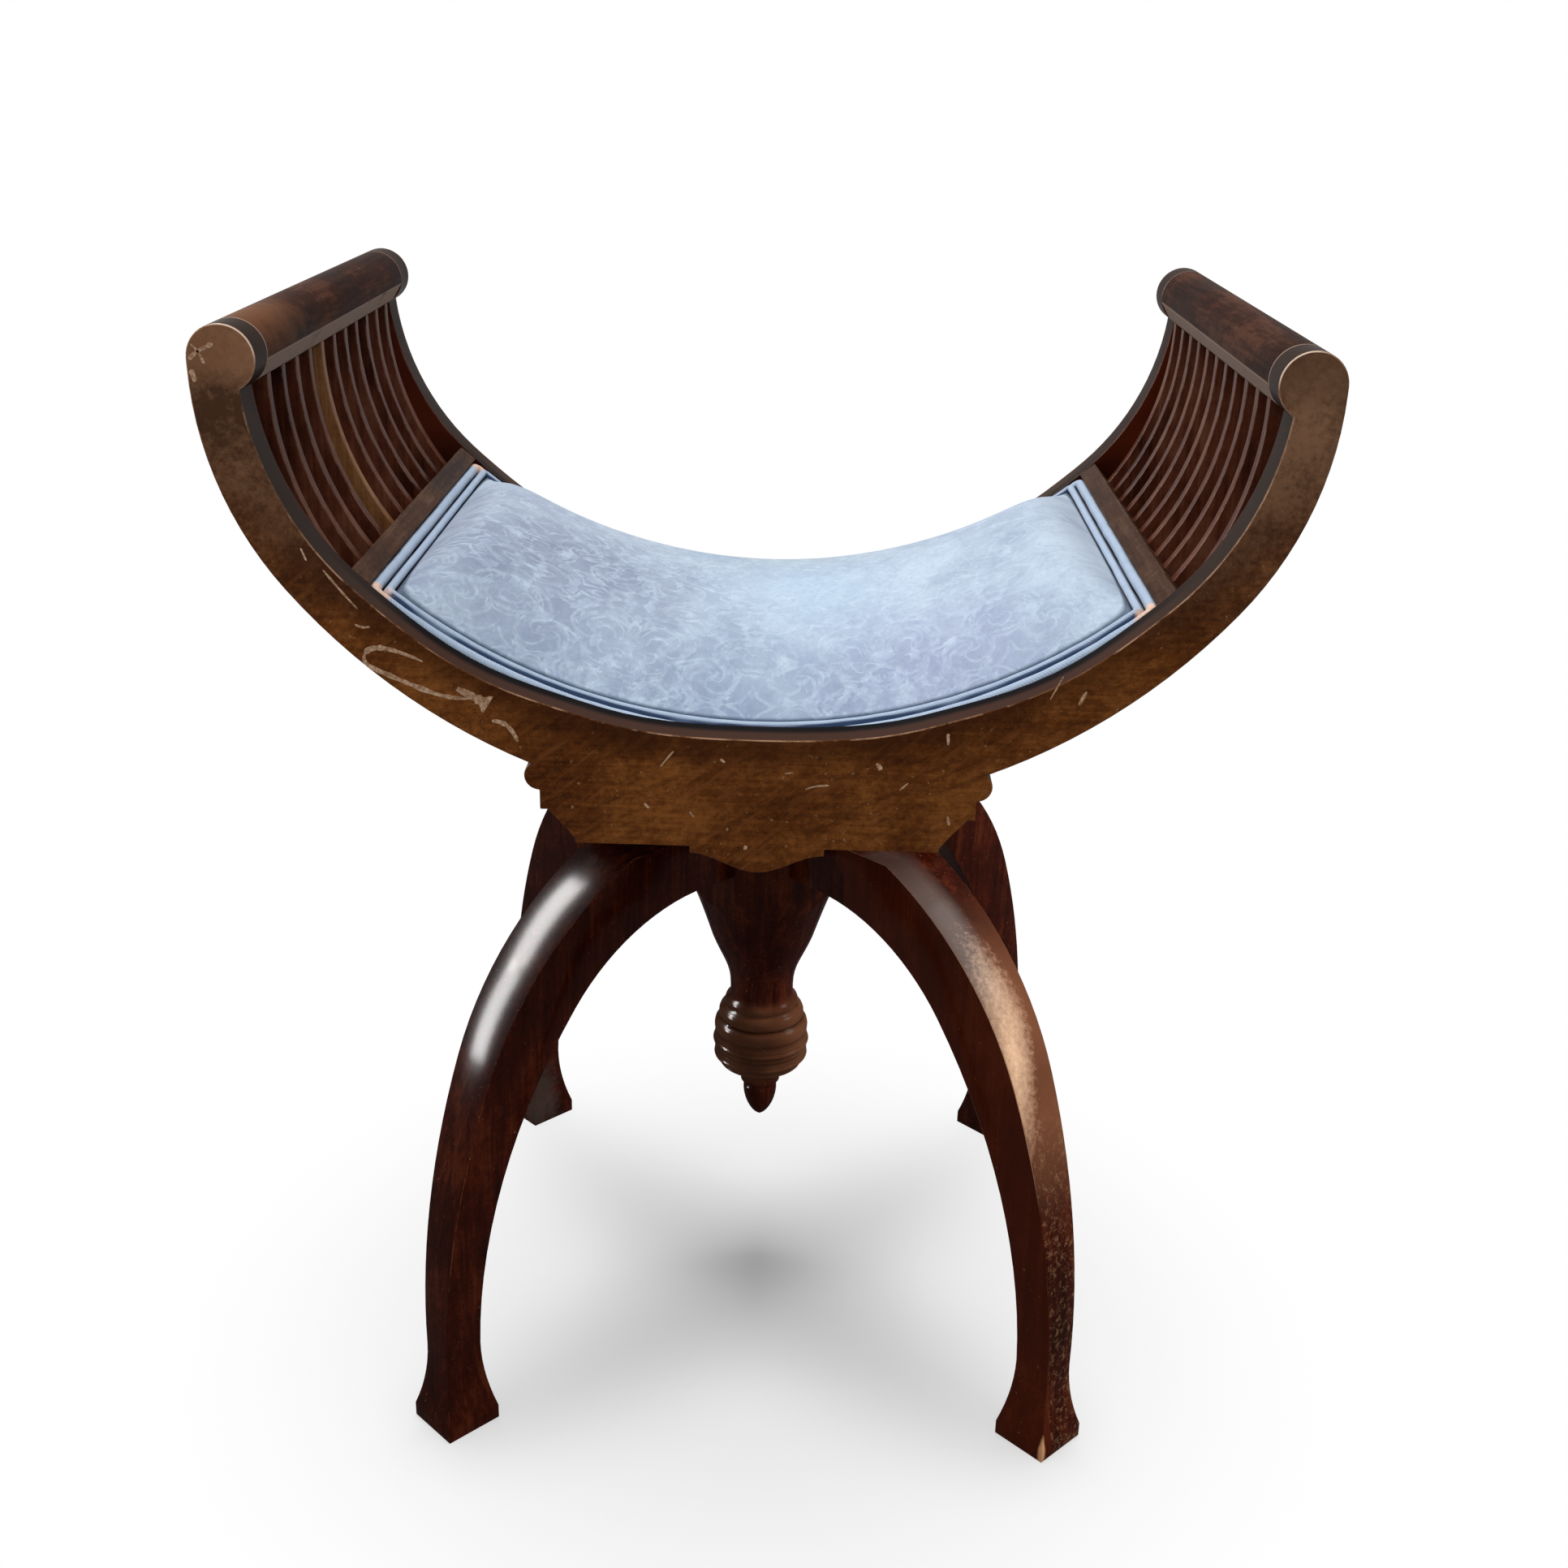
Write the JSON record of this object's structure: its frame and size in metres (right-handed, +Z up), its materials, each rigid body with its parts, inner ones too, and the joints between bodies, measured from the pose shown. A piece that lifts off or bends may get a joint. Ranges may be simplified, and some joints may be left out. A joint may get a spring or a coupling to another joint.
{
  "type": "revolving piano stool",
  "caption": "Height-adjusting wooden piano stool with a U-shaped slatted seat, a padded saddle cushion and four curved legs on a turned hub.",
  "frame": {"origin": "on the floor, under the axis of the screw that carries the seat", "axes": "+Z up along the screw, +X to the sitter's right along the seat's width, -Y towards the front board; the seat is at its lowest place"},
  "size_m": [0.565, 0.4044, 0.6535],
  "materials": {
    "seat_wood": "satin",
    "roll_wood": "satin",
    "rail_wood": "satin",
    "slat_wood": "satin",
    "hidden_wood": "matte",
    "seat_cloth": "matte",
    "border_cloth": "matte",
    "black_iron": "satin",
    "screw_steel": "satin",
    "base_wood": "gloss"
  },
  "bodies": {
    "base": {"hub": "base_wood", "nut_plate": "black_iron", "leg_front_left": "base_wood", "leg_front_right": "base_wood", "leg_back_right": "base_wood", "leg_back_left": "base_wood"},
    "lift": {"stop_washer": "screw_steel"},
    "seat": {"front_board": "seat_wood", "back_board": "seat_wood", "roll_left": "roll_wood", "roll_right": "roll_wood", "rail_left": "rail_wood", "rail_right": "rail_wood", "slat_left_1": "slat_wood", "slat_left_2": "slat_wood", "slat_left_3": "slat_wood", "slat_left_4": "slat_wood", "slat_left_5": "slat_wood", "slat_left_6": "slat_wood", "slat_left_7": "slat_wood", "slat_left_8": "slat_wood", "slat_left_9": "slat_wood", "slat_left_10": "slat_wood", "slat_left_11": "slat_wood", "slat_right_1": "slat_wood", "slat_right_2": "slat_wood", "slat_right_3": "slat_wood", "slat_right_4": "slat_wood", "slat_right_5": "slat_wood", "slat_right_6": "slat_wood", "slat_right_7": "slat_wood", "slat_right_8": "slat_wood", "slat_right_9": "slat_wood", "slat_right_10": "slat_wood", "slat_right_11": "slat_wood", "seat_panel": "hidden_wood", "bearer_left": "hidden_wood", "bearer_right": "hidden_wood", "seat_base": "hidden_wood", "cushion": "seat_cloth", "cushion_border": "border_cloth", "flange": "black_iron", "screw": "screw_steel", "end_nut": "screw_steel"}
  },
  "joints": [
    {"name": "seat_rise", "type": "slide", "parent": "base", "child": "lift", "axis": [0, 0, 1], "range_m": [0, 0.1]},
    {"name": "seat_turn", "type": "hinge", "parent": "lift", "child": "seat", "pos_m": [0, 0, 0.385], "axis": [0, 0, 1], "range_deg": [0, 6000]}
  ],
  "couplings": [
    {"joint": "seat_rise", "follows": "seat_turn", "m_per_rad": 0.00095493}
  ]
}
